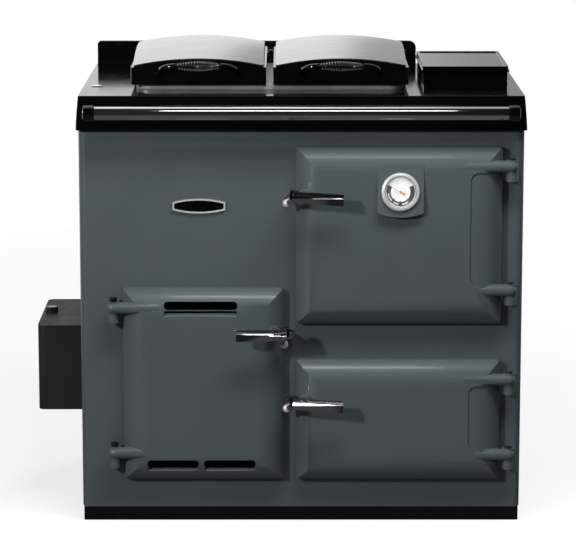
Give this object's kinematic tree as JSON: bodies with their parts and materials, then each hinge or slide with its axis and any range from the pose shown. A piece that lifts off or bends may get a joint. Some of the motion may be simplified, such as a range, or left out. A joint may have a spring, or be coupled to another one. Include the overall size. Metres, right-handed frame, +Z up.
{
  "type": "oil range cooker",
  "caption": "Floor-standing oil range cooker with cushion-shaped oven and burner doors, latch levers, coil-gripped hotplate lids, handrail and side oil control.",
  "frame": {"origin": "centre of the plinth's underside, on the floor", "axes": "+X to the right seen from the front, +Y to the back, +Z up; the doors face -Y"},
  "size_m": [1.0265, 0.738, 0.9908],
  "materials": {
    "slate_enamel": "gloss vitreous enamel, slate grey-blue",
    "black_enamel": "gloss black vitreous enamel",
    "cast_iron": "raw grey iron",
    "chrome": "polished chrome",
    "sheet_steel": "bright steel sheet",
    "polished_cover": "polished stainless cover",
    "ground_iron": "ground hotplate face",
    "oven_enamel": "dark vitreous enamel",
    "copper": "copper tube",
    "zinc": "zinc-plated steel",
    "insulation": "mineral wool slab",
    "seal_rope": "woven glass rope",
    "black_satin": "satin black paint",
    "black_plastic": "moulded black plastic",
    "white_dial": "white printed dial",
    "needle_paint": "orange-red paint",
    "clear_glass": "clear flat glass",
    "pin_steel": "dark steel"
  },
  "bodies": {
    "cooker": {"plinth": "black_enamel", "base_tray": "zinc", "front_plate": "slate_enamel", "left_side_panel": "slate_enamel", "right_side_panel": "slate_enamel", "back_panel": "zinc", "fascia": "black_enamel", "top_plate": "black_enamel", "upstand": "black_enamel", "top_plug": "chrome", "hotplate": "ground_iron", "main_oven": "oven_enamel", "lower_oven": "oven_enamel", "oven_shelves": "chrome", "combustion_chamber": "cast_iron", "boiler": "cast_iron", "water_pipes": "copper", "burner_pot": "cast_iron", "burner_shells": "sheet_steel", "oil_feed_pipe": "copper", "flue_chamber": "black_enamel", "flue_collar": "black_enamel", "flue_cover": "black_enamel", "flue_spigot": "black_enamel", "lid_hinge_rod": "sheet_steel", "lid_hinge_brackets": "black_enamel", "handrail": "chrome", "handrail_brackets": "black_enamel", "hinge_brackets": "slate_enamel", "hinge_pins": "pin_steel", "catch_studs": "chrome", "badge": "chrome", "oil_control_cover": "black_satin", "oil_control_valve": "zinc"},
    "main_door": {"main_door": "slate_enamel", "main_door_liner": "sheet_steel", "main_door_seal": "seal_rope", "dial_case": "chrome", "dial_face": "white_dial", "dial_glass": "clear_glass"},
    "main_lever": {"main_door_lever": "chrome"},
    "needle": {"dial_needle": "needle_paint"},
    "lower_door": {"lower_door": "slate_enamel", "lower_door_liner": "sheet_steel", "lower_door_seal": "seal_rope"},
    "lower_lever": {"lower_door_lever": "chrome"},
    "burner_door": {"burner_door": "slate_enamel", "burner_door_shield": "sheet_steel", "burner_door_seal": "seal_rope"},
    "burner_lever": {"burner_door_lever": "chrome"},
    "left_lid": {"left_lid_frame": "black_enamel", "left_lid_insulation": "insulation", "left_lid_cover": "polished_cover", "left_lid_grip_bar": "black_enamel", "left_lid_coil": "chrome"},
    "right_lid": {"right_lid_frame": "black_enamel", "right_lid_insulation": "insulation", "right_lid_cover": "polished_cover", "right_lid_grip_bar": "black_enamel", "right_lid_coil": "chrome"},
    "knob": {"control_knob": "black_plastic"}
  },
  "joints": [
    {"name": "main_door_hinge", "type": "hinge", "parent": "cooker", "child": "main_door", "pos_m": [0.4325, -0.321, 0.61325], "axis": [0, 0, 1], "range_deg": [0, 115]},
    {"name": "lower_door_hinge", "type": "hinge", "parent": "cooker", "child": "lower_door", "pos_m": [0.4325, -0.321, 0.22225], "axis": [0, 0, 1], "range_deg": [0, 115]},
    {"name": "burner_door_hinge", "type": "hinge", "parent": "cooker", "child": "burner_door", "pos_m": [-0.3895, -0.321, 0.29875], "axis": [0, 0, -1], "range_deg": [0, 115]},
    {"name": "main_lever_pivot", "type": "hinge", "parent": "main_door", "child": "main_lever", "pos_m": [0.008, -0.382, 0.70225], "axis": [0, -1, 0], "range_deg": [0, 25]},
    {"name": "lower_lever_pivot", "type": "hinge", "parent": "lower_door", "child": "lower_lever", "pos_m": [0.008, -0.382, 0.27025], "axis": [0, -1, 0], "range_deg": [0, 25]},
    {"name": "burner_lever_pivot", "type": "hinge", "parent": "burner_door", "child": "burner_lever", "pos_m": [-0.0565, -0.382, 0.41675], "axis": [0, 1, 0], "range_deg": [0, 25]},
    {"name": "left_lid_hinge", "type": "hinge", "parent": "cooker", "child": "left_lid", "pos_m": [-0.214, 0.242, 0.9308], "axis": [-1, 0, 0], "range_deg": [0, 90]},
    {"name": "right_lid_hinge", "type": "hinge", "parent": "cooker", "child": "right_lid", "pos_m": [0.083, 0.242, 0.9308], "axis": [-1, 0, 0], "range_deg": [0, 90]},
    {"name": "needle_turn", "type": "hinge", "parent": "main_door", "child": "needle", "pos_m": [0.203, -0.34262, 0.70925], "axis": [0, -0.9926, 0.1217], "range_deg": [0, 240]},
    {"name": "knob_turn", "type": "hinge", "parent": "cooker", "child": "knob", "pos_m": [-0.543, -0.011, 0.398], "axis": [0, 0, -1], "range_deg": [0, 270]}
  ]
}
